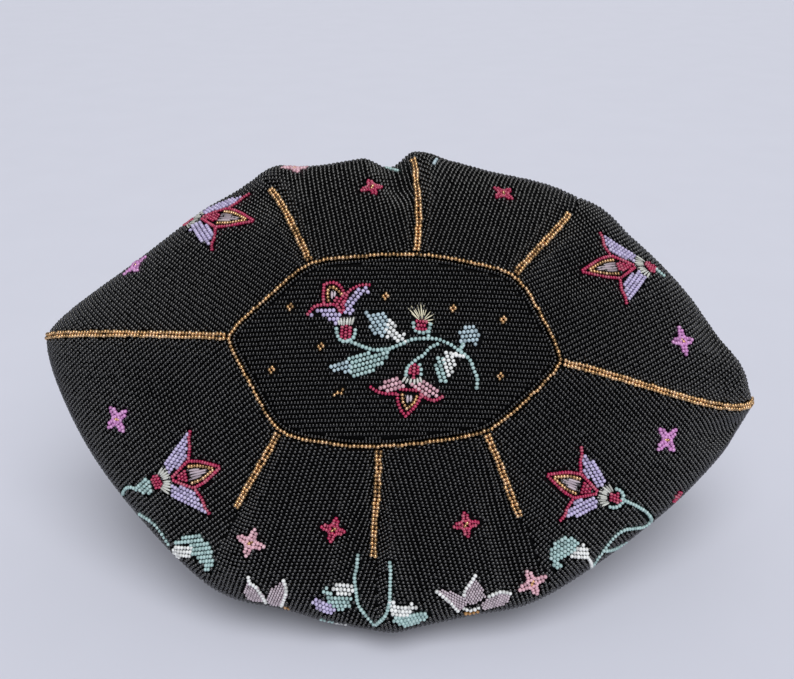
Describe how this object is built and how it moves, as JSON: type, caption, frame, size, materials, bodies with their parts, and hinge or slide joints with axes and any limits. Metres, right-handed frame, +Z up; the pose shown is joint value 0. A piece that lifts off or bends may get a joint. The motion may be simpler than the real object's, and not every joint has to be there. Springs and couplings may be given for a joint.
{
  "type": "beaded purse",
  "caption": "Soft black seed-bead purse lying on its belly, gold bead lines radiating from an oval base with floral beadwork, pouch gathered into a closed metal frame.",
  "frame": {"origin": "centre of the bounding box on the surface that the purse lies on", "axes": "+Z up, +X along the mouth to the right of someone facing the beaded base, -Y toward that viewer, so the base faces -Y and a little up"},
  "size_m": [0.2171, 0.1162, 0.1166],
  "materials": {
    "beaded_cloth": "black glass seed beads on cloth",
    "gold_beads": "bright gilt seed beads",
    "frame_metal": "satin gilt metal"
  },
  "bodies": {
    "root": {"base_panel": "beaded_cloth", "upper_panel": "beaded_cloth", "lower_panel": "beaded_cloth", "base_outline": "gold_beads", "seam_line_left": "gold_beads", "seam_line_top_left": "gold_beads", "seam_line_top": "gold_beads", "seam_line_top_right": "gold_beads", "seam_line_right": "gold_beads", "seam_line_bottom_right": "gold_beads", "seam_line_bottom": "gold_beads", "seam_line_bottom_left": "gold_beads", "mouth_frame": "frame_metal"}
  },
  "joints": []
}
